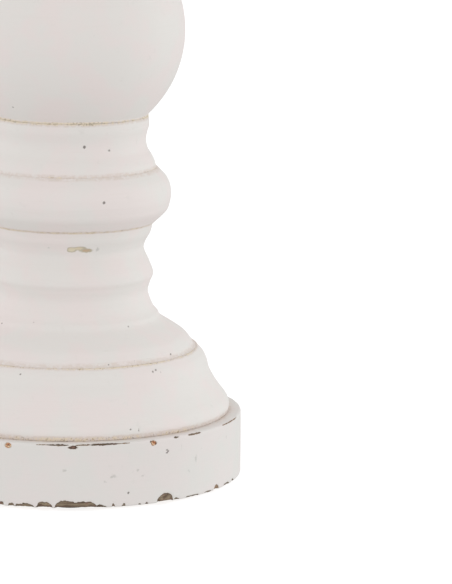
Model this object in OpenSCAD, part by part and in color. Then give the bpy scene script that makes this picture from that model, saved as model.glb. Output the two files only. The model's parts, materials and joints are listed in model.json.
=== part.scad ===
// Turned wooden candlestick: seven turned sections stacked on a steel tie rod,
// with a loose drip pan over a candle spike. Millimetres, +Z up, standing on z = 0.

/* [Plinth and foot] */
// Diameter of the round plinth
plinth_d = 130; // [110:1:150]
// Thickness of the plinth board
plinth_h = 24; // [20:0.5:30]
// Diameter of the foot moulding where it sits on the plinth
moulding_d = 121; // [105:0.5:124]
// Height of the foot moulding
moulding_h = 24.5; // [20:0.5:32]
// Thickness of the felt pads under the plinth
felt_t = 1; // [1:0.5:3]

/* [Stem] */
// Diameter of the bell section at its foot
bell_d = 92; // [80:0.5:96]
// Height of the bell section, up to the bead
bell_h = 47.7; // [40:0.1:60]
// Diameter of the bell's narrow waist
waist_d = 58.8; // [50:0.2:64]
// Largest diameter of the bead
bead_d = 76; // [70:0.5:84]
// Height of the bead
bead_h = 20.4; // [16:0.1:26]
// Height of the neck between the bead and the ball
neck_h = 19.8; // [18:0.1:28]
// Height of the narrow foot turned under the ball
ball_foot_h = 0.8; // [0.4:0.1:1.6]
// Diameter of the ball
ball_d = 86; // [80:0.5:94]
// Height of the section above the ball
collar_h = 34; // [30:0.5:44]

/* [Candle plate] */
// Diameter of the wooden candle plate
plate_d = 116; // [104:1:124]
// Height of the candle plate, with the flare under it
plate_h = 36.5; // [33:0.5:48]
// Thickness of the plate's rim
rim_h = 14; // [11:0.5:18]

/* [Metalwork] */
// Diameter of the tie rod
rod_d = 8; // [6:1:10]
// Diameter of the drip pan over its rolled rim
pan_d = 87; // [76:1:90]
// Depth of the drip pan inside
pan_depth = 7; // [6:0.5:9]
// Thickness of the pan's sheet steel
pan_t = 1; // [0.8:0.1:1.5]
// Length of the spike above the pan's floor
spike_l = 32; // [24:1:40]
// Diameter of the spike's straight shank
shank_d = 5.5; // [4.5:0.1:6]

/* [Hidden] */
$fn = 96;

painted = "#E2DED9";
zinc = "#A9ABAD";
iron = "#4A4541";

// Heights of the joints between the sections
plinth_z = felt_t;
moulding_z = plinth_z + plinth_h;
bell_z = moulding_z + moulding_h;
bead_z = bell_z + bell_h;
neck_top_z = bead_z + bead_h + neck_h;
ball_seat_r = 29.4;                                   // radius of the ball's foot and its upper flat
ball_half = sqrt(pow(ball_d / 2, 2) - pow(ball_seat_r, 2));
ball_z = neck_top_z + ball_foot_h + ball_half;
collar_z = ball_z + ball_half;
plate_z = collar_z + collar_h;
plate_top = plate_z + plate_h;

// Turned joints: each section stands in the one below it on a round tenon
tenon_r = 14.85;
tenon_l = 5.5;
mortise_r = 15;
mortise_h = 6;
bore_r = rod_d / 2 + 0.4;                             // hole for the tie rod

// Fastening under the plinth
washer_r = 12;
washer_t = 2;
lock_r = 7.4;
lock_t = 2;
nut_af = 13;
nut_h = 4;
recess_r = 13.5;
recess_h = 10.5;

// Fastening under the drip pan
pan_recess_h = 3;
pan_floor = plate_top - pan_recess_h;
boss_af = 15;
boss_h = 7;
boss_recess_r = 10.5;
top_washer_r = 9.5;
top_washer_t = 1.5;
boss_z = pan_floor - boss_h;

pan_floor_r = pan_d / 2 - 6;
pan_hole_r = shank_d / 2 + 1.15;
pan_edge_r = 1.2;                                     // radius of the rolled rim
collar_r = shank_d / 2 + 0.75;                        // collar that centres the pan
shank_l = 8;
tip_r = 0.3;

felt_r = 8;
felt_ring_r = plinth_d / 2 - 13;

// Points of an arc from angle a to angle b
function arc(centre, r, a, b, n = 6) =
    [for (i = [0 : n]) centre + r * [cos(a + (b - a) * i / n), sin(a + (b - a) * i / n)]];

// One point of a smooth span between knots p1 and p2, at t from 0 to 1
function span(p0, p1, p2, p3, t) =
    0.5 * (2 * p1 + (p2 - p0) * t + (2 * p0 - 5 * p1 + 4 * p2 - p3) * t * t
           + (3 * p1 - p0 - 3 * p2 + p3) * t * t * t);

// A smooth curve through all the knots
function smooth(k, n = 5) = concat(
    [for (i = [0 : len(k) - 2], j = [0 : n - 1])
        span(k[max(i - 1, 0)], k[i], k[i + 1], k[min(i + 2, len(k) - 1)], j / n)],
    [k[len(k) - 1]]);

// The outside of each section as [radius, height above its own foot]
function plinth_outline() = concat(
    arc([plinth_d / 2 - 0.6, 0.6], 0.6, -90, 0),
    arc([plinth_d / 2 - 0.7, plinth_h - 0.7], 0.7, 0, 90));

function moulding_outline() = let (r = moulding_d / 2, h = moulding_h) smooth([
    [r - 0.4, 0], [r, 0.10 * h], [r - 1, 0.21 * h], [r - 3.4, 0.34 * h], [r - 6, 0.50 * h],
    [r - 7.8, 0.65 * h], [r - 8.6, 0.78 * h], [r - 9.9, 0.89 * h], [r - 11.5, 0.96 * h],
    [r - 12.3, h]]);

function bell_outline() = let (r = bell_d / 2, w = waist_d / 2, h = bell_h) concat(
    arc([r + 2, 1.8], 1.8, 270, 180),
    smooth([
        [r, 2], [r - 0.7, 0.062 * h], [r - 2.5, 0.105 * h], [r - 5.6, 0.15 * h],
        [w + 5.3, 0.228 * h], [w + 3.8, 0.275 * h], [w + 1.8, 0.33 * h], [w, 0.44 * h],
        [w + 1, 0.53 * h], [w + 2, 0.59 * h], [w + 0.5, 0.68 * h], [w - 1.6, 0.785 * h],
        [w - 0.8, 0.855 * h], [w + 0.9, 0.92 * h], [w + 1.8, h]]));

function bead_outline() = let (r = bead_d / 2, w = waist_d / 2, h = bead_h, n = neck_h + ball_foot_h) concat(
    smooth([
        [r - 6.2, 0], [r - 3.3, 0.13 * h], [r - 1.3, 0.24 * h], [r - 0.4, 0.37 * h],
        [r, 0.50 * h], [r - 0.3, 0.67 * h], [r - 1.7, 0.83 * h], [r - 5, h]]),
    smooth([
        [r - 5.7, h + 0.3], [w + 2.3, h + 0.13 * n], [w + 1.2, h + 0.24 * n],
        [w - 0.1, h + 0.34 * n], [w - 0.7, h + 0.43 * n], [w - 0.9, h + 0.54 * n],
        [w - 0.5, h + 0.66 * n], [w + 0.2, h + 0.78 * n], [w + 0.1, h + 0.91 * n],
        [w - 0.1, h + neck_h]]));

function collar_outline() = let (w = waist_d / 2, r = bead_d / 2 - 3, h = collar_h) concat(
    [[w - 0.2, 0], [w + 0.2, 0.8], [w + 0.2, 0.13 * h]],
    smooth([
        [w - 0.3, 0.15 * h], [w - 1.8, 0.24 * h], [w - 2, 0.33 * h], [w + 0.4, 0.45 * h],
        [w + 2.2, 0.56 * h]]),
    smooth([
        [w + 2.8, 0.57 * h], [r - 1.6, 0.63 * h], [r, 0.76 * h], [r - 1.3, 0.90 * h],
        [r - 5, h]]));

function plate_outline() = let (r = plate_d / 2, w = waist_d / 2, h = plate_h, f = plate_h - rim_h) concat(
    smooth([
        [w + 0.4, 0], [w - 0.6, 0.10 * f], [w + 1.6, 0.36 * f], [w + 8, 0.64 * f],
        [r - 10.5, 0.83 * f], [r - 5.6, 0.93 * f]]),
    smooth([[r - 4.6, f], [r - 1.6, f + 1.6], [r, f + 0.5 * rim_h], [r - 0.8, h - 2.6]]),
    arc([r - 3.1, h - 2.1], 2.1, 20, 90));

// A turned section: its outside, a bore for the tie rod, a tenon below and a mortise above
module section(outline, h, tenon = true, mortise = true) {
    difference() {
        union() {
            rotate_extrude() polygon(concat([[0, 0]], outline, [[0, h]]));
            if (tenon) translate([0, 0, -tenon_l]) cylinder(r = tenon_r, h = tenon_l + 1);
        }
        translate([0, 0, -tenon_l - 1]) cylinder(r = bore_r, h = h + tenon_l + 2);
        if (mortise) translate([0, 0, h - mortise_h]) cylinder(r = mortise_r, h = mortise_h + 1);
    }
}

module washer(r, hole, t) {
    difference() {
        cylinder(r = r, h = t);
        translate([0, 0, -1]) cylinder(r = hole, h = t + 2);
    }
}

// Hexagonal body with its corners turned off at both ends
module hexagon(af, h) {
    corner_r = af / 2 / cos(30);
    bevel = (corner_r - af / 2) * 0.6;
    intersection() {
        cylinder(r = corner_r, h = h, $fn = 6);
        rotate_extrude() polygon([
            [0, 0], [af / 2, 0], [corner_r, bevel], [corner_r, h - bevel], [af / 2, h], [0, h]]);
    }
}

module plinth() {
    color(painted) translate([0, 0, plinth_z]) difference() {
        section(plinth_outline(), plinth_h, tenon = false);
        translate([0, 0, -1]) cylinder(r = recess_r, h = recess_h + 1);
    }
}

module foot_moulding() {
    color(painted) translate([0, 0, moulding_z]) section(moulding_outline(), moulding_h);
}

module bell_section() {
    color(painted) translate([0, 0, bell_z]) section(bell_outline(), bell_h);
}

module bead_section() {
    color(painted) translate([0, 0, bead_z]) section(bead_outline(), bead_h + neck_h);
}

module ball_section() {
    seat_z = neck_top_z + ball_foot_h;
    color(painted) difference() {
        union() {
            intersection() {
                translate([0, 0, ball_z]) sphere(d = ball_d);
                translate([0, 0, seat_z]) cylinder(d = ball_d + 2, h = 2 * ball_half);
            }
            translate([0, 0, neck_top_z]) cylinder(r = ball_seat_r, h = ball_foot_h + 1);
            translate([0, 0, neck_top_z - tenon_l]) cylinder(r = tenon_r, h = tenon_l + 1);
        }
        translate([0, 0, neck_top_z - tenon_l - 1]) cylinder(r = bore_r, h = 2 * ball_half + tenon_l + 3);
        translate([0, 0, collar_z - mortise_h]) cylinder(r = mortise_r, h = mortise_h + 1);
    }
}

module collar_section() {
    color(painted) translate([0, 0, collar_z]) section(collar_outline(), collar_h);
}

module candle_plate() {
    color(painted) difference() {
        translate([0, 0, plate_z]) section(plate_outline(), plate_h, mortise = false);
        translate([0, 0, pan_floor]) cylinder(d = pan_d + 2, h = pan_recess_h + 1);
        translate([0, 0, boss_z - top_washer_t]) cylinder(r = boss_recess_r, h = boss_h + 4);
    }
}

module tie_rod() {
    low = plinth_z + 0.5;
    high = boss_z + boss_h - 1.5;
    bevel = 0.8;
    color(zinc) rotate_extrude() polygon([
        [0, low], [rod_d / 2 - bevel, low], [rod_d / 2, low + bevel], [rod_d / 2, high - bevel],
        [rod_d / 2 - bevel, high], [0, high]]);
}

module base_washer() {
    color(zinc) translate([0, 0, plinth_z + recess_h - washer_t])
        washer(washer_r, bore_r, washer_t);
}

module spring_washer() {
    gap = 1.4;
    color(zinc) translate([0, 0, plinth_z + recess_h - washer_t - lock_t]) difference() {
        washer(lock_r, rod_d / 2 + 0.15, lock_t);
        rotate([0, 0, 20]) translate([lock_r / 2, -gap / 2, -1]) cube([lock_r, gap, lock_t + 2]);
    }
}

module base_nut() {
    color(zinc) translate([0, 0, plinth_z + recess_h - washer_t - lock_t - nut_h]) difference() {
        hexagon(nut_af, nut_h);
        translate([0, 0, -1]) cylinder(r = rod_d / 2 + 0.05, h = nut_h + 2);
    }
}

module top_washer() {
    color(zinc) translate([0, 0, boss_z - top_washer_t]) washer(top_washer_r, bore_r, top_washer_t);
}

// Candle spike on a hexagonal boss that screws down the tie rod
module pricket() {
    shank_r = shank_d / 2;
    shank_z = boss_h + pan_t + 0.2;
    tip_z = boss_h + pan_t + spike_l;
    color(iron) translate([0, 0, boss_z]) difference() {
        union() {
            hexagon(boss_af, boss_h);
            rotate_extrude() polygon([
                [0, boss_h - 1], [collar_r, boss_h - 1], [collar_r, shank_z], [shank_r, shank_z],
                [shank_r, shank_z + shank_l], [tip_r, tip_z - tip_r], [0, tip_z]]);
        }
        translate([0, 0, -1]) cylinder(r = rod_d / 2 + 0.05, h = boss_h);
    }
}

// Pressed steel drip pan with a rolled rim, as one turned outline
module drip_pan() {
    bend = 2.5;
    slope = 70;
    wall_r = pan_floor_r;
    edge = [pan_d / 2 - pan_edge_r, pan_depth + pan_t - pan_edge_r];
    outer = concat([[pan_hole_r, 0]], arc([wall_r, bend + pan_t], bend + pan_t, -90, slope - 90));
    inner = concat(arc([wall_r, bend + pan_t], bend, slope - 90, -90), [[pan_hole_r, pan_t]]);
    color(iron) translate([0, 0, pan_floor]) rotate_extrude() union() {
        polygon(concat(outer, [edge + [0.4, 0], edge - [0.5, 0]], inner));
        translate(edge) circle(r = pan_edge_r);
    }
}

module felt_pads() {
    color("#8A8378") for (i = [0 : 3])
        rotate([0, 0, 90 * i]) translate([felt_ring_r, 0, 0]) cylinder(r = felt_r, h = felt_t);
}

plinth();
foot_moulding();
bell_section();
bead_section();
ball_section();
collar_section();
candle_plate();
tie_rod();
base_washer();
spring_washer();
base_nut();
top_washer();
pricket();
drip_pan();
felt_pads();
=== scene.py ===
"""The looks of the turned wooden candlestick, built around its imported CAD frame. Metres, +Z up."""
import json
import math

import bpy
import numpy as np
from mathutils import Matrix, Vector


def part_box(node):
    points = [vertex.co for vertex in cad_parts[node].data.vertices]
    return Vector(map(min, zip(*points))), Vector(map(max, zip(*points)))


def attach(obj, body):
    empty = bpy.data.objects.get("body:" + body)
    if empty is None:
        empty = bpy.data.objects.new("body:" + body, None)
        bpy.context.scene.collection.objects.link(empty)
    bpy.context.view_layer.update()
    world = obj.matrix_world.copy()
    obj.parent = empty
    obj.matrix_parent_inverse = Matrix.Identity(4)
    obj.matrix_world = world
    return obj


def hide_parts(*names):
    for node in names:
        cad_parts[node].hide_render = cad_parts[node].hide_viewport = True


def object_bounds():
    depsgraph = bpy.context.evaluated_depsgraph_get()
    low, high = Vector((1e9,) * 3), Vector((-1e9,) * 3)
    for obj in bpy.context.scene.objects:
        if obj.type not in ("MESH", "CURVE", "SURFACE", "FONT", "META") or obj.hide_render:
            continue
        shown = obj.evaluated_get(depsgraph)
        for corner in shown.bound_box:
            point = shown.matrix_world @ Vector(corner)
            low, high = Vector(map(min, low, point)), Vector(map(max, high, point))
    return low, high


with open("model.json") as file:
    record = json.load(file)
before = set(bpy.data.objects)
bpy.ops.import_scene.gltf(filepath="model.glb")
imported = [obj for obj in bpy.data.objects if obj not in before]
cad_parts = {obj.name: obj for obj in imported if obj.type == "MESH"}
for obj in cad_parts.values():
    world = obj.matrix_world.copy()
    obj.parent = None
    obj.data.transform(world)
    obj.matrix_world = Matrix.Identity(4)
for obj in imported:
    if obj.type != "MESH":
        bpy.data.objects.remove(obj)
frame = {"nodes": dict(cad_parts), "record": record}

MM = 0.001
cad_low, cad_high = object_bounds()
plinth_low, plinth_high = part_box("plinth")

# ---------------------------------------------------------------- camera

CAMERA_DISTANCE = 1.3076     # in front of the turned axis
CAMERA_RISE = 0.2988         # above the plinth's lower face
LENS, SENSOR = 215.75, 36     # mm
PITCH, YAW, ROLL = math.radians(9.97), math.radians(2.584), math.radians(0.45)


def make_camera():
    """Looks a little down and past the right side of the stem."""
    camera = bpy.data.objects.new("camera", bpy.data.cameras.new("camera"))
    bpy.context.scene.collection.objects.link(camera)
    right = Vector((math.cos(YAW), -math.sin(YAW), 0))
    level = Vector((math.sin(YAW), math.cos(YAW), 0))
    ahead = level * math.cos(PITCH) - Vector((0, 0, math.sin(PITCH)))
    up = Vector((0, 0, math.cos(PITCH))) + level * math.sin(PITCH)
    side = right * math.cos(ROLL) + up * math.sin(ROLL)
    top = up * math.cos(ROLL) - right * math.sin(ROLL)
    turn = Matrix((side, top, -ahead)).transposed()
    place = Vector((0, -CAMERA_DISTANCE, plinth_low.z + CAMERA_RISE))
    camera.matrix_world = Matrix.Translation(place) @ turn.to_4x4()
    camera.data.lens = LENS
    camera.data.sensor_width = SENSOR
    camera.data.clip_start = 0.01
    bpy.context.scene.camera = camera


# ---------------------------------------------------------------- noise

LATTICE_SIZE, LATTICE_SEED = 32, 11
LATTICE = np.random.default_rng(LATTICE_SEED).random((LATTICE_SIZE,) * 3)


def noise(points, size, shift=0.0):
    """Smooth noise from -1 to 1, in blobs about size across. points are in metres."""
    place = points / size + 100.5 + shift
    cell = np.floor(place).astype(int)
    part = place - cell
    part = part * part * (3 - 2 * part)
    total = np.zeros(place.shape[:-1])
    for corner in np.ndindex(2, 2, 2):
        near = np.where(np.array(corner), part, 1 - part).prod(axis=-1)
        index = (cell + corner) % LATTICE_SIZE
        total += near * LATTICE[index[..., 0], index[..., 1], index[..., 2]]
    return 2 * total - 1


def step(value, low, high):
    """A smooth step from 0 at low to 1 at high."""
    t = np.clip((value - low) / (high - low), 0, 1)
    return t * t * (3 - 2 * t)


# ---------------------------------------------------------------- turned outlines

WELD = 0.02 * MM             # points of one ring lie within this
TENON_RADIUS = 15.5 * MM     # outline points further in belong to tenons, bores and recesses
SHARP = math.radians(30)     # a turn in the outline above this is a real edge
EASE = 0.14 * MM             # how far the paint rounds a real edge


def rings_of(node):
    """The rings of a turned CAD node as (radius, height), and which of them its edges join."""
    mesh = frame["nodes"][node].data
    points = np.empty(len(mesh.vertices) * 3, np.float32)
    mesh.vertices.foreach_get("co", points)
    points = points.reshape(-1, 3).astype(float)
    flat = np.stack([np.hypot(points[:, 0], points[:, 1]), points[:, 2]], axis=1)
    grid, index = np.unique(np.round(flat / WELD).astype(int), axis=0, return_inverse=True)
    index = index.reshape(-1)
    gaps = np.abs(grid[:, None] - grid[None]).max(axis=2)
    first = (gaps <= 1).argmax(axis=1)
    ring = first[index]
    ends = np.empty(len(mesh.edges) * 2, np.int32)
    mesh.edges.foreach_get("vertices", ends)
    pairs = {tuple(sorted(pair)) for pair in ring[ends.reshape(-1, 2)].tolist()}
    return grid * WELD, {pair for pair in pairs if pair[0] != pair[1]}


def outline_of(node, inner=TENON_RADIUS):
    """The closed outline of a turned CAD node, up its outside and down its bore.
    It starts at the outside's foot. The second value says how many of its points show: those
    further out than inner."""
    places, pairs = rings_of(node)
    near = {}
    for a, b in pairs:
        near.setdefault(a, []).append(b)
        near.setdefault(b, []).append(a)
    start = max(near, key=lambda i: places[i][0])
    loop = [start, near[start][0]]
    while len(loop) < len(near):
        ahead = [i for i in near[loop[-1]] if i not in loop]
        loop.append(ahead[0])
    points = places[loop]
    r, z = points.T
    if np.sum(r * np.roll(z, -1) - np.roll(r, -1) * z) < 0:
        points = points[::-1]
    shows = points[:, 0] > inner
    if shows.all():
        foot = int(np.argmin(points.sum(axis=1)))
    else:
        foot = int(np.argmax(shows & ~np.roll(shows, 1)))
    return np.roll(points, -foot, axis=0), int(shows.sum())


def corners_of(run):
    """The indices of a run's ends and of its real edges."""
    way = np.diff(run, axis=0)
    heading = np.unwrap(np.arctan2(way[:, 1], way[:, 0]))
    turns = np.abs(np.diff(heading))
    return [0] + [i + 1 for i in range(len(turns)) if turns[i] > SHARP] + [len(run) - 1]


def curve_through(points, along, where):
    """Points at the lengths where, on a smooth curve through points at the lengths along."""
    if len(points) < 3:
        return np.stack([np.interp(where, along, points[:, k]) for k in (0, 1)], axis=1)
    slope = np.empty_like(points)
    slope[1:-1] = (points[2:] - points[:-2]) / (along[2:] - along[:-2])[:, None]
    slope[0] = (points[1] - points[0]) / (along[1] - along[0])
    slope[-1] = (points[-1] - points[-2]) / (along[-1] - along[-2])
    i = np.clip(np.searchsorted(along, where, side="right") - 1, 0, len(along) - 2)
    span = (along[i + 1] - along[i])[:, None]
    t = ((where - along[i])[:, None]) / span
    return ((1 + 2 * t) * (1 - t) ** 2 * points[i] + t * (1 - t) ** 2 * span * slope[i]
            + t * t * (3 - 2 * t) * points[i + 1] + t * t * (t - 1) * span * slope[i + 1])


def places_along(length, ends, fine, coarse):
    """Lengths from 0 to length, close together near the ends and further apart between them."""
    places = [0.0]
    while places[-1] < length:
        here = places[-1]
        away = min(here if ends[0] else length, length - here if ends[1] else length)
        places.append(here + min(coarse, fine + 0.12 * away))
    places = np.array(places)
    return places * length / places[-1]


def eased(run, fine, coarse, ease=EASE):
    """A run of outline points redrawn as close, smooth points, with its real edges eased."""
    corners = corners_of(run)
    made = []
    for a, b in zip(corners[:-1], corners[1:]):
        part = run[a:b + 1]
        along = np.concatenate([[0], np.cumsum(np.hypot(*np.diff(part, axis=0).T))])
        cut = min(ease, along[-1] / 4)
        where = cut + places_along(along[-1] - 2 * cut, (True, True), fine, coarse)
        piece = curve_through(part, along, where)
        if made:
            corner, low, high = run[a], made[-1][-1], piece[0]
            t = np.array([[0.25], [0.5], [0.75]])
            made.append((1 - t) ** 2 * low + 2 * t * (1 - t) * corner + t * t * high)
        made.append(piece)
    return np.concatenate(made)


def turned_profile(node, fine, coarse, reveal):
    """A turned section's outline with its outside eased. reveal is how far its lower and upper
    joint faces show. The second value is how many of the points show, and the third is its real
    edges, from where the outside meets the lower joint face to where it meets the upper one."""
    points, count = outline_of(node)
    run, rest = points[:count], points[count:]
    below = face_point(run[0], rest[-1], reveal[0])
    above = face_point(run[-1], rest[0], reveal[1])
    shown = eased(np.concatenate([[below], run, [above]]), fine, coarse)
    return np.concatenate([shown, rest]), len(shown), run[corners_of(run)]


def face_point(corner, inner, reach):
    """The point so far in from the corner of a joint face."""
    way = inner - corner
    return corner + way * min(0.9, reach / np.hypot(*way))


# ---------------------------------------------------------------- meshes

def link(mesh, name, body, slot, *nodes):
    """Makes a piece of the mesh that rides on a body and stands for CAD nodes."""
    piece = bpy.data.objects.new(name, mesh)
    bpy.context.scene.collection.objects.link(piece)
    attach(piece, body)
    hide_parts(*nodes)
    return piece


def grid_mesh(name, grid, rings_close=True, columns_close=True):
    """A closed mesh from a grid of points, [ring, column, xyz]. Where the rings don't close on
    each other, the first and last are capped; where the columns don't, both ends are filled."""
    rings, columns = grid.shape[:2]
    i, j = np.meshgrid(np.arange(rings - (not rings_close)), np.arange(columns - (not columns_close)),
                       indexing="ij")
    up, on = (i + 1) % rings, (j + 1) % columns
    quads = np.stack([i * columns + j, i * columns + on, up * columns + on, up * columns + j], axis=-1)
    points, faces = grid.reshape(-1, 3), quads.reshape(-1, 4).tolist()
    if not rings_close:
        for ring, turn in ((0, 1), (rings - 1, -1)):
            loop = [ring * columns + k for k in range(columns)][::turn]
            faces += [[len(points), b, a] for a, b in zip(loop, loop[1:] + loop[:1])]
            points = np.concatenate([points, grid[ring].mean(axis=0)[None]])
    if not columns_close:
        faces.append([k * columns for k in range(rings)])
        faces.append([k * columns + columns - 1 for k in reversed(range(rings))])
    mesh = bpy.data.meshes.new(name)
    mesh.from_pydata(points, [], faces)
    return mesh


def smooth(mesh, edge=40):
    """Smooth shading, apart from edges sharper than this many degrees."""
    mesh.shade_smooth()
    mesh.set_sharp_from_angle(angle=math.radians(edge))


def angles(columns):
    """Angles round the axis, from the front towards +X."""
    return np.linspace(-math.pi, math.pi, columns, endpoint=False)


def revolve(outline, columns):
    """The grid of points of an outline turned round the axis."""
    a = angles(columns)
    r, z = outline[:, :1], outline[:, 1:]
    return np.stack([r * np.sin(a), -r * np.cos(a), np.broadcast_to(z, (len(z), columns))], axis=-1)


def outward(outline):
    """The outline's outward normals, as (radius, height)."""
    way = np.roll(outline, -1, axis=0) - np.roll(outline, 1, axis=0)
    way /= np.maximum(np.hypot(*way.T), 1e-12)[:, None]
    return np.stack([way[:, 1], -way[:, 0]], axis=1)


def give(mesh, name, values):
    """Stores one number a vertex, for a material to read."""
    attribute = mesh.attributes.new(name, "FLOAT", "POINT")
    attribute.data.foreach_set("value", values.astype(np.float32).ravel())


# ---------------------------------------------------------------- wear

WEAR_SEED = 5
# A chip along an edge: its middle and half width in degrees, its height in mm and how fresh it is.
PLINTH_FOOT_CHIPS = [
    (-23.5, 1.5, 1.4, 0), (-19.5, 1, 1, 0), (-15, 3, 1.3, 0), (-8.5, 2.5, 2, 0),
    (-1.5, 3.5, 2.7, 0), (4, 4.5, 2.3, 0), (9.5, 2, 1, 0), (14, 0.5, 0.9, 0),
    (17.5, 0.5, 0.8, 0), (23, 0.5, 0.4, 0), (25.5, 0.5, 0.6, 0), (32.5, 3, 3, 0),
    (37, 1, 0.8, 0), (44, 3, 0.4, 0), (52, 2, 0.4, 0), (57, 1.5, 1.8, 0.3),
    (64.5, 2.5, 0.7, 0), (70, 1, 1.1, 0),
]
# Cracks along the plinth's upper edge, in the same terms.
PLINTH_CRACKS = [
    (-9, 2, 0.15, 0.4), (-4, 3.5, 0.35, 0), (4.5, 2.5, 0.3, 0.25), (11, 4.5, 0.5, 0),
    (17.5, 2, 0.2, 0.35), (37, 1, 0.35, 0), (45, 3, 0.35, 0.15), (68, 7, 0.2, 0.4),
]
# Marks on each node: kind, angle from the front, height above the plinth's foot, half width and
# half height in mm, and a tone. The tone of a bare spot is how fresh it is, and of a rubbed one
# how brown. A scuff is only a faint grey mark on the paint.
MARKS = {
    "plinth": [
        ("bare", -20.5, 23, 1.2, 1, 1), ("bare", 28, 23, 1.2, 0.9, 1),
        ("bare", 27, 23.5, 0.5, 0.4, 0), ("bare", 1, 23, 1.7, 0.6, 0),
        ("speck", 33, 19.5, 0.5, 0.4, 0), ("speck", 33.5, 19, 0.4, 0.6, 0),
        ("speck", 33, 18.5, 0.5, 0.4, 0), ("speck", 19, 5, 0.5, 0.5, 0),
        ("speck", 63.5, 18.5, 0.2, 0.7, 0), ("speck", 39, 19.5, 0.1, 0.6, 0),
        ("scuff", 13.5, 11.5, 1.3, 0.9, 0), ("scuff", 11, 10, 1, 0.7, 0),
        ("scuff", 22, 13, 1.6, 0.8, 0), ("scuff", 24, 11, 0.9, 0.5, 0),
        ("scuff", 38.5, 19.5, 0.4, 1.2, 0), ("scuff", 48.5, 17.5, 1, 0.5, 0),
        ("scuff", 45.5, 14.5, 0.5, 1.3, 0), ("scuff", 42, 10.5, 0.9, 0.6, 0),
        ("scuff", 58, 15, 0.5, 1.6, 0), ("scuff", -2, 14.5, 0.8, 0.5, 0),
    ],
    "bell_section": [
        ("scuff", 20.5, 89.5, 0.9, 1.2, 0), ("scuff", -16, 90, 0.5, 0.5, 0),
        ("speck", 54, 50, 0.4, 0.4, 0), ("speck", 17.5, 49.5, 0.3, 0.3, 0),
        ("speck", -49.5, 61, 0.3, 0.3, 0), ("speck", -25, 62.5, 0.3, 0.3, 0),
        ("speck", 39.5, 60.5, 0.3, 0.3, 0), ("speck", 30.5, 50, 0.1, 0.5, 0),
        ("rub", 1, 89.5, 1.8, 1.2, 0.15), ("rub", 6, 90, 2.7, 0.8, 0.3),
        ("rub", 12, 89, 2.4, 0.8, 0.9),
    ],
    "bead_section": [
        ("scuff", 29.5, 126.5, 1.1, 0.8, 0), ("scuff", -17, 113.5, 0.3, 1.4, 0),
        ("speck", 19, 108.5, 0.6, 0.6, 0), ("speck", 10.5, 127.5, 0.6, 0.6, 0),
        ("speck", 30, 126, 0.4, 0.5, 0),
    ],
    "foot_moulding": [
        ("speck", 21.5, 27.5, 0.4, 0.4, 0), ("speck", 24.5, 27, 0.3, 0.6, 0),
        ("speck", 39, 46.5, 0.5, 0.5, 0), ("speck", 37, 46, 0.4, 0.5, 0),
        ("speck", 41, 45.5, 0.2, 0.5, 0), ("speck", -21.5, 46.5, 0.4, 0.4, 0),
    ],
    "ball_section": [
        ("speck", -38.5, 142, 0.4, 0.4, 0),
    ],
}
FRONT = -26, 76              # degrees: the chips above are between these, and seeded ones elsewhere
BACK = 88, 288               # seeded specks are between these
# Half widths of the seeded chips, in degrees, and how common each is
CHIP_WIDTHS = [0.6, 1.2, 2.4, 4.0]
CHIP_SHARES = [0.35, 0.3, 0.22, 0.13]
# How deep the marks are sunk, in mm: a chip, its hollow, a speck and a rubbed spot
CHIP_DEPTH, HOLLOW_DEPTH, SPECK_DEPTH, RUB_DEPTH = 0.32, 0.12, 0.2, 0.22
UNEVEN = 0.03                # how uneven the turned surface is, in mm


def edge_chips(rng, chips, gap, tallest, fresh_share=0.16):
    """The chips of the front, and seeded ones like them round the rest of the edge."""
    made = list(chips)
    angle, end = (FRONT[1], FRONT[0] + 360) if chips else (0, 360)
    while True:
        angle += rng.uniform(0.25, 1.75) * gap
        half = rng.choice(CHIP_WIDTHS, p=CHIP_SHARES) * rng.uniform(0.8, 1.3)
        tall = rng.uniform(0.3, 1) ** 2 * tallest
        if angle + 2 * half > end:
            return made
        made.append((angle + half, half, min(tall, 0.5 + half), float(rng.random() < fresh_share)))
        angle += 2 * half


def chip_line(chips, a, radius):
    """How far chips reach from their edge at each angle, in mm, and how fresh they are."""
    reach = np.full(a.shape, -9.0)
    fresh = np.zeros(a.shape)
    for middle, half, tall, new in chips:
        away = (np.degrees(a) - middle + 180) % 360 - 180
        beyond = np.radians(np.abs(away) - half) * radius / MM
        top = tall * np.clip(1 - (away / half) ** 2, 0, 1) ** 0.35
        own = np.where(beyond < 0, top, -beyond)
        fresh = np.where(own > reach, new, fresh)
        reach = np.maximum(reach, own)
    return reach, fresh


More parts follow.
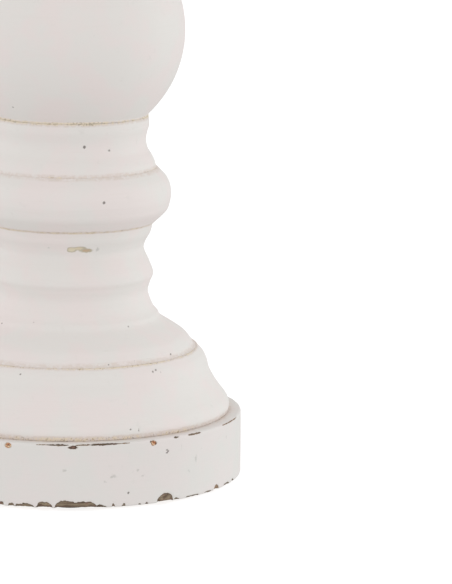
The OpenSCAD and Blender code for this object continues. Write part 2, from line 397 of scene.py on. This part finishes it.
class Section:
    """One turned section and the marks on it. Each kind of mark is a number for each point of
    its grid: how many mm the point is inside one, or below 0 outside. Tone and glaze are amounts.
    fine and coarse are the spacing of its outline near its edges and between them, column is the
    spacing round it, and reveal says how far its joint faces show, all in mm."""

    def __init__(self, node, fine=0.24, coarse=0.54, column=0.46, reveal=(1.2, 1.2)):
        reveal = [reach * MM for reach in reveal]
        self.node = node
        self.outline, self.shown, self.edges = turned_profile(node, fine * MM, coarse * MM, reveal)
        widest = self.outline[:, 0].max()
        columns = 8 * round(2 * math.pi * widest / (column * MM) / 8)
        self.turns = angles(columns)
        self.grid = revolve(self.outline, columns)
        kinds = "bare", "speck", "rub", "scuff"
        self.marks = {kind: np.full(self.grid.shape[:2], -5.0) for kind in kinds}
        self.marks["tone"] = np.zeros(self.grid.shape[:2])
        self.marks["glaze"] = np.zeros(self.grid.shape[:2])
        self.run = self.outline[:self.shown]
        self.along = np.concatenate([[0], np.cumsum(np.hypot(*np.diff(self.run, axis=0).T))])
        self.rough = noise(self.grid, 1.3 * MM) + 0.6 * noise(self.grid, 0.6 * MM, 7)
        for kind, angle, height, wide, tall, tone in MARKS.get(node, []):
            self.spot(kind, angle, plinth_low.z + height * MM, wide, tall, tone)

    def off(self, place):
        """How many mm each outline point is past the one nearest to a (radius, height)."""
        nearest = int(np.hypot(*(self.run - place).T).argmin())
        return (self.along - self.along[nearest]) / MM

    def put(self, kind, own, tone):
        """Adds a mark where it is deeper than what is there."""
        part, tones = self.marks[kind][:self.shown], self.marks["tone"][:self.shown]
        tones[:] = np.where((own > part) & (own > -0.5), tone, tones)
        np.maximum(part, own, out=part)

    def chip(self, place, chips, up=1.0, down=1.0, ragged=0.36):
        """Chips along the edge at place. up and down say how far they reach to each side."""
        reach, fresh = chip_line(chips, self.turns, place[0])
        off = self.off(place)
        off = np.where(off > 0, off / up, -off / down)[:, None]
        wave = ragged * self.rough[:self.shown] * np.clip(reach / 0.5, 0, 1)
        self.put("bare", reach - off + wave, fresh)

    def spot(self, kind, angle, height, wide, tall, tone=0):
        """An oval mark with its middle at an angle and a height in metres."""
        level = np.abs(self.run[:, 1] - height)
        place = self.run[np.where(level < level.min() + 0.2 * MM, self.run[:, 0], 0).argmax()]
        turn = (self.turns - math.radians(angle) + math.pi) % (2 * math.pi) - math.pi
        across = turn[None, :] * place[0] / MM / wide
        updown = self.off(place)[:, None] / tall
        own = (1 - np.hypot(across, updown)) * min(wide, tall)
        self.put(kind, own + 0.1 * self.rough[:self.shown], tone)

    def stain(self, place, *bands):
        """Old glaze along the joint at place, in bands of (mm below, mm above, amount)."""
        off = self.off(place)
        patchy = 0.85 + 0.3 * noise(self.grid[:self.shown], 11 * MM, 3)
        glaze = self.marks["glaze"][:self.shown]
        for below, above, amount in bands:
            share = np.where(off > 0, off / above, -off / below)[:, None]
            np.maximum(glaze, amount * patchy * np.exp(-share ** 4), out=glaze)

    def scatter(self, rng, count):
        """Seeded specks round the back, where MARKS has none."""
        low, high = self.run[:, 1].min() + 2 * MM, self.run[:, 1].max() - 2 * MM
        for _ in range(count):
            wide = rng.uniform(0.25, 0.5)
            self.spot("speck", rng.uniform(*BACK), rng.uniform(low, high), wide, 0.9 * wide)

    def finish(self, name, outside, inside):
        """Sinks the marks into the wood and makes the piece, painted outside and raw inside."""
        marks, shown = self.marks, self.shown
        depth = (CHIP_DEPTH * step(marks["bare"], -0.1, 0.25) * (1 + 0.3 * self.rough)
                 + HOLLOW_DEPTH * step(marks["bare"], 0.3, 1.6)
                 + SPECK_DEPTH * step(marks["speck"], -0.1, 0.25)
                 + RUB_DEPTH * step(marks["rub"], -0.15, 0.6)
                 + UNEVEN * (1 + noise(self.grid, 7 * MM, 5)))
        depth[shown:] = 0
        inward = -outward(self.outline) * MM
        self.grid[..., 0] += inward[:, :1] * depth * np.sin(self.turns)
        self.grid[..., 1] -= inward[:, :1] * depth * np.cos(self.turns)
        self.grid[..., 2] += inward[:, 1:] * depth
        mesh = grid_mesh(name, self.grid)
        for kind, values in marks.items():
            give(mesh, kind, values)
        mesh.materials.append(outside)
        mesh.materials.append(inside)
        hidden = np.arange(len(self.outline)) >= shown - 1
        mesh.polygons.foreach_set("material_index", np.repeat(hidden, len(self.turns)).astype(np.int32))
        smooth(mesh, 55)
        link(mesh, name, "stick", "painted_wood", self.node)


# ---------------------------------------------------------------- material nodes

def paint(r, g, b):
    """A colour given as the eye sees it, 0 to 255, as a shader takes it."""
    linear = [c / 255 / 12.92 if c <= 10 else ((c / 255 + 0.055) / 1.055) ** 2.4 for c in (r, g, b)]
    return (*linear, 1)


class Shader:
    """One material and short ways to add nodes to it."""

    def __init__(self, name, **fixed):
        self.material = bpy.data.materials.new(name)
        self.material.use_nodes = True
        self.tree = self.material.node_tree
        self.surface = self.tree.nodes["Principled BSDF"]
        for socket, value in fixed.items():
            self.surface.inputs[socket.replace("_", " ")].default_value = value
        self.place = self.add("TexCoord").outputs["Object"]

    def add(self, kind, inputs=(), **settings):
        node = self.tree.nodes.new("ShaderNode" + kind)
        for key, value in settings.items():
            setattr(node, key, value)
        for key, value in dict(inputs).items():
            if isinstance(value, bpy.types.NodeSocket):
                self.tree.links.new(value, node.inputs[key])
            else:
                node.inputs[key].default_value = value
        return node

    def stretched(self, x, y, z):
        """The piece's own coordinates with each axis scaled."""
        return self.add("Mapping", {"Vector": self.place, "Scale": (x, y, z)}).outputs[0]

    def noise(self, size, detail=3.0, roughness=0.5, vector=None):
        """Noise from 0 to 1 in blobs about size metres across."""
        inputs = {"Vector": vector or self.place, "Scale": 1 / size,
                  "Detail": detail, "Roughness": roughness}
        return self.add("TexNoise", inputs).outputs[0]

    def read(self, name):
        return self.add("Attribute", attribute_name=name).outputs["Fac"]

    def math(self, kind, a, b=0.0):
        return self.add("Math", {0: a, 1: b}, operation=kind).outputs[0]

    def ramp(self, value, low, high, bottom=0.0, top=1.0):
        """value's range from low to high, as bottom to top and no further."""
        inputs = {0: value, 1: low, 2: high, 3: bottom, 4: top}
        return self.add("MapRange", inputs, interpolation_type="SMOOTHSTEP").outputs[0]

    def blend(self, share, a, b, kind="MIX"):
        node = self.add("Mix", {0: share, 6: a, 7: b}, data_type="RGBA", blend_type=kind)
        return node.outputs[2]

    def bump(self, height, distance, under=None):
        inputs = {"Height": height, "Distance": distance, "Strength": 1.0}
        if under is not None:
            inputs["Normal"] = under
        return self.add("Bump", inputs).outputs[0]

    def wear(self, **linked):
        """Links what varies to the surface's sockets."""
        for socket, value in linked.items():
            self.tree.links.new(value, self.surface.inputs[socket.replace("_", " ")])
        return self.material


STEM_WHITES = (230, 221, 218), (227, 223, 219)
BOARD_WHITES = (227, 220, 217), (224, 221, 217)
SMUDGE, TURNING_LINE, SCUFF = (212, 208, 203), (209, 201, 192), (186, 184, 178)
GLAZE_PALE, GLAZE_CREAM, GLAZE_DARK = (219, 208, 201), (228, 215, 193), (197, 185, 166)
DOT_BROWN, DOT_GREY = (146, 118, 84), (128, 116, 96)
RUB_PALE, RUB_BROWN, RUB_RIM = (222, 213, 188), (190, 163, 134), (186, 178, 158)
SPECK, STAINED_PAINT = (112, 106, 100), (214, 200, 178)
WOOD_DARK, WOOD_LIGHT, WOOD_RED = (98, 80, 66), (158, 141, 118), (134, 100, 88)
# The next colour is painted shade: it darkens the bare wood along each chip's rim, where the broken paint
# edge would shade it
CHIP_EDGE_SHADE = (66, 52, 44)
FRESH_ORANGE, FRESH_PALE, FRESH_DARK = (190, 122, 84), (238, 208, 172), (112, 74, 60)


def painted_wood(name, grain, warm, cool):
    """Chalk paint over brown wood. grain is the scale of each axis along and across the grain."""
    look = Shader(name, Specular_IOR_Level=0.28)
    fine, tiny = look.noise(0.9 * MM, 4), look.noise(0.35 * MM, 2)
    fibre = look.noise(1.0, 5, 0.6, look.stretched(*grain))

    # Paint: warm and cool patches, faint smudges, and a hint of the turning under it
    cloud = look.ramp(look.noise(14 * MM, 3), 0.38, 0.62)
    colour = look.blend(cloud, paint(*warm), paint(*cool))
    smudge = look.noise(4 * MM, 5, 0.65)
    colour = look.blend(look.ramp(smudge, 0.6, 0.78, 0, 0.35), colour, paint(*SMUDGE))
    turning = look.noise(1.0, 3, 0.5, look.stretched(45, 45, 1500))
    colour = look.blend(look.ramp(turning, 0.55, 0.8, 0, 0.06), colour, paint(*TURNING_LINE))

    # Glaze left in the joints, broken up, with darker dots
    glaze = look.read("glaze")
    broken = look.ramp(look.noise(1.6 * MM, 4, 0.7), 0.3, 0.7, -0.26, 0.26)
    glazed = look.math("ADD", glaze, look.math("MULTIPLY", broken, look.ramp(glaze, 0.05, 0.4)))
    colour = look.blend(look.ramp(glazed, 0.05, 0.42, 0, 0.9), colour, paint(*GLAZE_PALE))
    colour = look.blend(look.ramp(glazed, 0.5, 0.72, 0, 0.9), colour, paint(*GLAZE_CREAM))
    colour = look.blend(look.ramp(glazed, 0.74, 1.05, 0, 0.9), colour, paint(*GLAZE_DARK))
    dots = look.ramp(look.noise(0.7 * MM, 3, 0.6), 0.54, 0.64)
    dots = look.math("MULTIPLY", dots, look.ramp(look.noise(3 * MM, 2), 0.38, 0.58, 0.25, 1))
    dots = look.math("MULTIPLY", dots, look.ramp(glaze, 0.3, 0.6, 0, 0.7))
    colour = look.blend(dots, colour, look.blend(cloud, paint(*DOT_BROWN), paint(*DOT_GREY)))
    scuffed = look.math("ADD", look.read("scuff"), look.ramp(smudge, 0.35, 0.65, -0.7, 0.3))
    scuff = look.ramp(scuffed, -0.2, 0.5)
    colour = look.blend(look.math("MULTIPLY", scuff, 0.6), colour, paint(*SCUFF))

    # Paint rubbed thin, with a greyer rim
    rub = look.math("ADD", look.read("rub"), look.ramp(fine, 0.3, 0.7, -0.12, 0.12))
    inner = look.blend(look.read("tone"), paint(*RUB_PALE), paint(*RUB_BROWN))
    rubbed = look.blend(look.ramp(rub, 0.12, 0.4), paint(*RUB_RIM), inner)
    colour = look.blend(look.ramp(rub, -0.2, 0.1, 0, 0.95), colour, rubbed)

    # Specks, and chips down to the wood with stained paint round them; the wood along each chip's rim is
    # darkened as painted shade of the broken paint edge
    speck = look.math("ADD", look.read("speck"), look.ramp(tiny, 0.3, 0.7, -0.1, 0.1))
    colour = look.blend(look.ramp(speck, -0.12, 0.18, 0, 0.85), colour, paint(*SPECK))
    ragged = look.ramp(look.noise(1.0 * MM, 5, 0.7), 0.3, 0.7, -0.16, 0.16)
    bare = look.math("ADD", look.read("bare"), ragged)
    colour = look.blend(look.ramp(bare, -0.3, 0.0, 0, 0.5), colour, paint(*STAINED_PAINT))
    old = look.blend(look.ramp(fibre, 0.32, 0.66), paint(*WOOD_DARK), paint(*WOOD_LIGHT))
    old = look.blend(look.ramp(look.noise(2.2 * MM, 3), 0.52, 0.66, 0, 0.7), old, paint(*WOOD_RED))
    # Painted shade: the wood is darkened along each chip's rim, as if shaded by the broken paint edge
    old = look.blend(look.ramp(bare, 0.05, 0.4, 0.75, 0), old, paint(*CHIP_EDGE_SHADE))
    new = look.blend(look.ramp(fine, 0.38, 0.62), paint(*FRESH_ORANGE), paint(*FRESH_PALE))
    new = look.blend(look.ramp(look.noise(0.6 * MM, 3), 0.55, 0.62), new, paint(*FRESH_DARK))
    worn = look.ramp(bare, -0.05, 0.05)
    colour = look.blend(worn, colour, look.blend(look.read("tone"), old, new))

    roughness = look.ramp(fine, 0.3, 0.7, 0.62, 0.8)
    height = look.math("ADD", look.math("MULTIPLY", fine, 0.35), look.math("MULTIPLY", turning, 0.4))
    skin = look.bump(height, 0.05 * MM)
    torn = look.bump(look.math("MULTIPLY", look.math("ADD", fibre, tiny), worn), 0.35 * MM, skin)
    return look.wear(Base_Color=colour, Roughness=roughness, Normal=torn)


def raw_wood(name):
    """Unpainted turned wood inside the joints and under the plinth."""
    look = Shader(name, Specular_IOR_Level=0.3)
    fibre = look.noise(1.0, 6, 0.65, look.stretched(30, 900, 900))
    rings = look.noise(1.0, 3, 0.5, look.stretched(12, 170, 170))
    colour = look.blend(look.ramp(rings, 0.35, 0.65), paint(176, 142, 104), paint(146, 112, 78))
    colour = look.blend(look.ramp(fibre, 0.5, 0.8, 0, 0.6), colour, paint(106, 78, 54))
    normal = look.bump(fibre, 0.12 * MM)
    return look.wear(Base_Color=colour, Roughness=look.ramp(fibre, 0.3, 0.7, 0.6, 0.8), Normal=normal)


def dark_iron(name):
    """Blackened iron, a little brown and rubbed."""
    look = Shader(name, Metallic=1.0)
    patch, fine = look.noise(9 * MM, 4, 0.6), look.noise(0.8 * MM, 4, 0.6)
    colour = look.blend(look.ramp(patch, 0.35, 0.7), paint(74, 68, 64), paint(96, 82, 70))
    colour = look.blend(look.ramp(fine, 0.58, 0.75, 0, 0.6), colour, paint(120, 112, 104))
    normal = look.bump(look.math("ADD", patch, look.math("MULTIPLY", fine, 0.3)), 0.25 * MM)
    return look.wear(Base_Color=colour, Roughness=look.ramp(patch, 0.3, 0.7, 0.42, 0.62), Normal=normal)


def zinc_plate(name):
    """Zinc plated steel, slightly mottled."""
    look = Shader(name, Metallic=1.0)
    patch, fine = look.noise(3 * MM, 4), look.noise(0.4 * MM, 2)
    colour = look.blend(look.ramp(patch, 0.35, 0.65), paint(196, 198, 198), paint(206, 200, 184))
    return look.wear(Base_Color=colour, Roughness=look.ramp(fine, 0.3, 0.7, 0.3, 0.45),
                  Normal=look.bump(fine, 0.02 * MM))


def felt(name):
    """Pressed grey-brown felt with loose fibres."""
    look = Shader(name, Specular_IOR_Level=0.1, Sheen_Weight=0.5, Sheen_Roughness=0.5)
    one = look.noise(1.0, 3, 0.6, look.stretched(2600, 500, 900))
    two = look.noise(1.0, 3, 0.6, look.stretched(500, 2600, 900))
    fibre = look.math("MAXIMUM", one, two)
    colour = look.blend(look.ramp(fibre, 0.45, 0.75), paint(92, 84, 76), paint(142, 134, 124))
    return look.wear(Base_Color=colour, Roughness=look.ramp(fibre, 0.3, 0.8, 0.9, 1.0),
                  Normal=look.bump(fibre, 0.3 * MM))


# ---------------------------------------------------------------- the wooden sections

END_GRAIN = (900, 900, 40)    # grain along the stem
BOARD_GRAIN = (40, 900, 900)  # grain across the plinth and the plate
# Each stem section: its piece's name, the bands of glaze at its foot and at its top, and how many
# specks it gets round the back.
STEM = {
    "foot_moulding": ("foot_moulding_turned", [(1, 1.8, 0.67)], [(1.2, 1, 0.3), (0.6, 0.6, 0.72)], 9),
    "bell_section": ("bell_turned", [(1, 2.5, 0.44), (0.5, 0.5, 0.85)], [(0.5, 0.5, 0.7)], 12),
    "bead_section": ("bead_turned", [(1, 1.3, 0.36), (0.6, 0.6, 0.82)],
                     [(1.2, 1, 0.5), (0.6, 0.6, 0.88)], 10),
    "ball_section": ("ball_turned", [(0.6, 0.7, 0.9)], [(0.6, 0.6, 0.6)], 12),
    "collar_section": ("collar_turned", [(0.6, 0.6, 0.8)], [(0.6, 0.6, 0.6)], 8),
}
GROOVE_GLAZE = (2.2, 1.2, 0.34), (0.5, 0.5, 0.46)


def make_wood():
    """The plinth, the turned sections of the stem and the candle plate, each with its wear."""
    rng = np.random.default_rng(WEAR_SEED)
    inside = raw_wood("raw_wood")
    stem = painted_wood("painted_stem", END_GRAIN, *STEM_WHITES)
    board = painted_wood("painted_board", BOARD_GRAIN, *BOARD_WHITES)

    plinth = Section("plinth", reveal=(2, 6))
    edge = plinth_high.x
    foot_edge = edge, plinth_low.z + 0.3 * MM
    top_edge = edge - 0.2 * MM, plinth_high.z - 0.35 * MM
    plinth.chip(foot_edge, edge_chips(rng, PLINTH_FOOT_CHIPS, 9, 2.6), down=1.3)
    plinth.chip(top_edge, edge_chips(rng, PLINTH_CRACKS, 14, 0.7), ragged=0.16)
    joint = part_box("foot_moulding")[1].x
    plinth.stain((joint, plinth_high.z), (2.6, 2.6, 0.3), (0.7, 0.7, 0.6))
    plinth.scatter(rng, 9)
    plinth.finish("plinth_board", board, inside)

    for node, (name, foot, top, specks) in STEM.items():
        section = Section(node)
        section.stain(section.edges[0], *foot)
        section.stain(section.edges[-1], *top)
        if node == "bead_section":
            section.stain(section.edges[1], *GROOVE_GLAZE)
        section.scatter(rng, specks)
        section.finish(name, stem, inside)

    plate = Section("candle_plate", coarse=0.8, column=0.6)
    plate.stain(plate.edges[0], (0.6, 0.6, 0.8))
    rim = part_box("candle_plate")[1]
    plate.chip((rim.x - 0.6 * MM, rim.z - 0.4 * MM), edge_chips(rng, [], 12, 1.4))
    plate.scatter(rng, 10)
    plate.finish("candle_plate_turned", board, inside)


# ---------------------------------------------------------------- metalwork and felt

THREAD_PITCH, THREAD_DEPTH = 1.25 * MM, 0.6 * MM
THREAD_PLAY = 0.05 * MM      # between the rod and what screws on it
MOUTH = 0.5 * MM             # how far the mouth of a threaded bore is eased
FOOT_THREAD, TOP_THREAD = 16 * MM, 14 * MM   # past the nut, and down from the rod's top
COLLAR_STEP, HOLE_STEP = 0.75 * MM, 1.15 * MM  # the pan's collar and its hole, past the shank
RING_GAP, RING_DEPTH, DENT_DEPTH = 1.1, 0.02, 0.1  # spinning rings and dents in the pan, in mm
ROUND = 96                   # columns of a metal piece, so that a hexagon's corners fall on them


def metal(name, grid, node, material, slot, body="stick", edge=40, **closing):
    """A piece of metal or felt from a grid of points, in place of a CAD node."""
    mesh = grid_mesh(name, grid, **closing)
    mesh.materials.append(material)
    smooth(mesh, edge)
    return link(mesh, name, body, slot, node)


def whole_outline(node, fine, coarse, ease):
    """The outline of a turned node that shows all round, redrawn finely."""
    outline, _ = outline_of(node, inner=0)
    closed = np.concatenate([outline, outline[:1]])
    return eased(closed, fine * MM, coarse * MM, ease * MM)


def lathe(rows, columns=ROUND):
    """A grid from rows of (radius, height), where a radius may be a number for each column."""
    a = angles(columns)
    rings = []
    for r, z in rows:
        r = np.broadcast_to(r, a.shape)
        rings.append(np.stack([r * np.sin(a), -r * np.cos(a), np.full(a.shape, z)], axis=-1))
    return np.array(rings)


def hexagon(across, limit, columns=ROUND):
    """The radius of a hexagon at each column, turned down to limit. A flat faces the front."""
    sixth = math.pi / 3
    a = (angles(columns) + sixth / 2) % sixth - sixth / 2
    return np.minimum(across / 2 / np.cos(a), limit)


def hexagon_rows(across, low, high):
    """The side of a hexagonal body with its corners turned off at both ends."""
    corner = across / 2 / math.cos(math.pi / 6)
    steps = np.linspace(0, 1, 5)
    limits = across / 2 + (corner - across / 2) * steps
    bevel = 0.6 * (corner - across / 2) * steps
    rows = [(hexagon(across, limit), low + rise) for limit, rise in zip(limits, bevel)]
    return rows + [(hexagon(across, limit), high - rise) for limit, rise in zip(limits[::-1], bevel[::-1])]


def arc(x, z, radius, start, stop, count=14):
    """Points of an arc round (x, z), in mm, between two angles in degrees."""
    turn = np.radians(np.linspace(start, stop, count))
    return np.stack([x + radius * np.cos(turn), z + radius * np.sin(turn)], axis=1)


def make_drip_pan(iron):
    """The pressed pan with its rolled rim, faint spinning rings and shallow dents in its floor."""
    low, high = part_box("drip_pan")
    reach, tall = high.x / MM, (high.z - low.z) / MM
    thick, bend, slope, rim = 1, 2.5, 70, 1.2
    hole, wall, middle = (candle_pin()[0] + HOLE_STEP) / MM, reach - 6, thick + bend
    outline = np.concatenate([
        [[hole, 0]], arc(wall, middle, middle, -90, slope - 90),
        arc(reach - rim, tall - rim, rim, -95, 222, 40),
        arc(wall, middle, bend, slope - 90, -90), [[hole, thick]], [[hole, 0]]])
    outline = eased(outline * MM + (0, low.z), 0.25 * MM, 0.6 * MM)
    grid = revolve(outline, 480)
    floor = (outward(outline)[:, 1] > 0.9) & (outline[:, 1] < low.z + 1.3 * MM)
    rings = RING_DEPTH * (1 + np.sin(outline[:, :1] / MM * 2 * math.pi / RING_GAP))
    dents = DENT_DEPTH * np.clip(noise(grid, 9 * MM, 2) + 0.3, 0, 1)
    grid[..., 2] -= np.where(floor[:, None], (rings + dents) * MM, 0)
    metal("drip_pan_pressed", grid, "drip_pan", iron, "dark_iron", "pan")


def candle_pin():
    """The candle spike's shank: its radius, its foot and its top."""
    pin = next(mount for mount in frame["record"]["mounts"] if mount["name"] == "candle_spike")
    half = pin["dims"]["length_mm"] * MM / 2
    return pin["dims"]["r_mm"] * MM, pin["pos_m"][2] - half, pin["pos_m"][2] + half


def make_spike(iron):
    """The candle spike: hexagonal boss, centring collar, straight shank and a filed point."""
    low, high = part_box("pricket")
    across = 2 * high.y
    shank, shank_low, shank_high = candle_pin()
    boss_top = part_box("drip_pan")[0].z
    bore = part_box("tie_rod")[1].x + THREAD_PLAY
    collar = shank + COLLAR_STEP
    rows = [(0.5 * bore, boss_top - MM), (bore, boss_top - MM), (bore, low.z + MOUTH),
            (bore + MOUTH, low.z)]
    rows += hexagon_rows(across, low.z, boss_top)
    rows += [(collar, boss_top), (collar, shank_low - 0.3 * MM), (collar - 0.3 * MM, shank_low),
             (shank, shank_low)]
    rows += [(shank, z) for z in np.linspace(shank_low + 0.4 * MM, shank_high, 24)]
    tip = 0.3 * MM
    for t in np.linspace(0, 1, 60)[1:]:
        rows.append((shank + (tip - shank) * t, shank_high + (high.z - tip - shank_high) * t))
    rows += [(0.6 * tip, high.z - 0.35 * tip), (0.2 * tip, high.z)]
    grid = lathe(rows)
    filed = np.clip(noise(grid * (1, 1, 0.3), 1.6 * MM, 4), 0, 1) * 0.07
    above = grid[..., 2] > shank_low + 0.3 * MM
    grid[..., :2] *= np.where(above, 1 - filed, 1)[..., None]
    metal("spike", grid, "pricket", iron, "dark_iron", rings_close=False)


def make_tie_rod(zinc):
    """The rod, with a real helical thread at both ends."""
    low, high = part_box("tie_rod")
    radius, bevel = high.x, 0.8 * MM
    nut_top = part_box("base_nut")[1].z
    stops = (low.z + bevel, nut_top + FOOT_THREAD), (high.z - TOP_THREAD, high.z - bevel)
    rows = [(radius - bevel, low.z)]
    columns = 48
    for start, stop in stops:
        for z in np.arange(start, stop, THREAD_PITCH / 7):
            turn = (z / THREAD_PITCH - angles(columns) / (2 * math.pi)) % 1
            ramp = min(1, (stop - z) / MM, (z - start) / MM + (start < nut_top))
            rows.append((radius - THREAD_DEPTH * ramp * np.abs(2 * turn - 1), z))
        rows.append((radius, stop))
    rows.append((radius - bevel, high.z))
    metal("tie_rod_threaded", lathe(rows, columns), "tie_rod", zinc, "zinc_steel", rings_close=False)


def make_nut(zinc):
    """The hexagonal nut, with both mouths of its bore eased."""
    low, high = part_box("base_nut")
    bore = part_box("tie_rod")[1].x + THREAD_PLAY
    rows = [(bore, low.z + MOUTH), (bore + MOUTH, low.z)]
    rows += hexagon_rows(2 * high.y, low.z, high.z)
    rows += [(bore + MOUTH, high.z), (bore, high.z - MOUTH)]
    metal("nut_base", lathe(rows), "base_nut", zinc, "zinc_steel")


def make_spring_washer(zinc):
    """A split ring with eased edges, cut through where the CAD one is."""
    mesh = frame["nodes"]["spring_washer"].data
    points = np.array([vertex.co for vertex in mesh.vertices])
    r = np.hypot(points[:, 0], points[:, 1])
    around = np.sort(np.arctan2(points[:, 0], -points[:, 1]))
    around = np.append(around, around[0] + 2 * math.pi)
    widest = int(np.diff(around).argmax())
    middle = (around[widest] + around[widest + 1]) / 2
    inner, outer, low, high = r.min(), r.max(), points[:, 2].min(), points[:, 2].max()
    half_gap = outer * math.sin((around[widest + 1] - around[widest]) / 2)
    box = np.array([(inner, low), (outer, low), (outer, high), (inner, high), (inner, low)])
    section = eased(box, 0.3 * MM, 0.8 * MM, 0.25 * MM)
    cut = np.arcsin(half_gap / section[:, :1])
    a = middle + cut + (2 * math.pi - 2 * cut) * np.linspace(0, 1, 80)
    grid = np.stack([section[:, :1] * np.sin(a), -section[:, :1] * np.cos(a),
                     np.broadcast_to(section[:, 1:], a.shape)], axis=-1)
    metal("washer_spring", grid, "spring_washer", zinc, "zinc_steel", columns_close=False)


def make_metal():
    """The drip pan, the spike and what holds the stem together."""
    iron, zinc = dark_iron("blackened_iron"), zinc_plate("zinc_plate")
    make_drip_pan(iron)
    make_spike(iron)
    make_tie_rod(zinc)
    make_nut(zinc)
    make_spring_washer(zinc)
    for node, name in (("base_washer", "washer_base"), ("top_washer", "washer_top")):
        grid = revolve(whole_outline(node, 0.3, 1.0, 0.3), ROUND)
        metal(name, grid, node, zinc, "zinc_steel")


def make_felt():
    """Four pads cut from felt, with soft, slightly uneven edges."""
    low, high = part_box("felt_pads")
    rest = next(mount for mount in frame["record"]["mounts"] if mount["name"] == "base_rest")
    ring = rest["pos_m"][0]
    radius, thick = high.x - ring, high.z - low.z
    rows = [(0.5, 0), (0.95, 0), (0.985, 0.1), (1, 0.35), (1, 0.6), (0.99, 0.85), (0.96, 1), (0.5, 1)]
    material = felt("felt")
    for side in range(4):
        pad = lathe([(radius * r, low.z + thick * z) for r, z in rows], 144)
        pad[1:-1, :, :2] *= (1 - 0.012 * (1 + noise(pad[1:-1], 0.8 * MM, side)))[..., None]
        a = math.radians(90 * side)
        pad[..., 0] += ring * math.cos(a)
        pad[..., 1] += ring * math.sin(a)
        name = f"felt_pad_{side + 1}"
        metal(name, pad, "felt_pads", material, "felt", edge=60, rings_close=False)


# ---------------------------------------------------------------- floor, light and world

LIGHT_BELOW, LIGHT_ABOVE = 0.62, 0.885       # the world's strength
RIGHT_POWER, LEFT_POWER, FRONT_POWER = 7.2, 5, 9
RIGHT_COLOUR = (0.93, 1, 1)


def make_stage():
    """A pale floor that only the camera sees. The light from below comes from the world."""
    size = 12
    z = cad_low.z - 0.05 * MM
    mesh = bpy.data.meshes.new("floor")
    corners = [(-size, -size, z), (size, -size, z), (size, size, z), (-size, size, z)]
    mesh.from_pydata(corners, [], [(0, 1, 2, 3)])
    floor = bpy.data.objects.new("floor", mesh)
    bpy.context.scene.collection.objects.link(floor)
    look = Shader("floor", Base_Color=(0.3, 0.3, 0.3, 1), Roughness=0.9, Specular_IOR_Level=0.1,
                  Emission_Color=(1, 1, 1, 1), Emission_Strength=0.85)
    mesh.materials.append(look.material)
    floor.visible_diffuse = False
    floor.visible_glossy = False
    floor.visible_shadow = False


def softbox(name, azimuth, rise, away, size, power, colour=(1, 1, 1)):
    """A square soft light that faces the object. azimuth is from the front towards +X."""
    lamp = bpy.data.lights.new(name, "AREA")
    lamp.shape, lamp.size, lamp.energy, lamp.color = "SQUARE", size, power, colour
    light = bpy.data.objects.new(name, lamp)
    bpy.context.scene.collection.objects.link(light)
    middle = (cad_low + cad_high) / 2
    a = math.radians(azimuth)
    light.location = middle + Vector((away * math.sin(a), -away * math.cos(a), rise))
    light.visible_camera = False
    light.rotation_mode = "QUATERNION"
    light.rotation_quaternion = (light.location - middle).to_track_quat("Z", "Y")


def make_light():
    """A light tent, a little brighter above than below, with a soft light in front and one
    behind each side."""
    softbox("front", 0, 0.2, 2.2, 1.5, FRONT_POWER)
    softbox("right_side", 108, -0.1, 1.6, 1.1, RIGHT_POWER, RIGHT_COLOUR)
    softbox("left_side", -112, -0.1, 1.6, 1.1, LEFT_POWER)
    world = bpy.data.worlds.new("studio")
    world.use_nodes = True
    tree = world.node_tree
    place = tree.nodes.new("ShaderNodeTexCoord")
    axes = tree.nodes.new("ShaderNodeSeparateXYZ")
    grade = tree.nodes.new("ShaderNodeMapRange")
    tree.links.new(place.outputs["Generated"], axes.inputs[0])
    tree.links.new(axes.outputs["Z"], grade.inputs["Value"])
    ends = {"From Min": -1, "From Max": 1, "To Min": LIGHT_BELOW, "To Max": LIGHT_ABOVE}
    for socket, value in ends.items():
        grade.inputs[socket].default_value = value
    tree.links.new(grade.outputs[0], tree.nodes["Background"].inputs["Strength"])
    tree.nodes["Background"].inputs["Color"].default_value = (1, 1, 1, 1)
    bpy.context.scene.world = world
    bpy.context.scene.view_settings.view_transform = "Standard"


make_camera()
make_wood()
make_metal()
make_felt()
make_stage()
make_light()
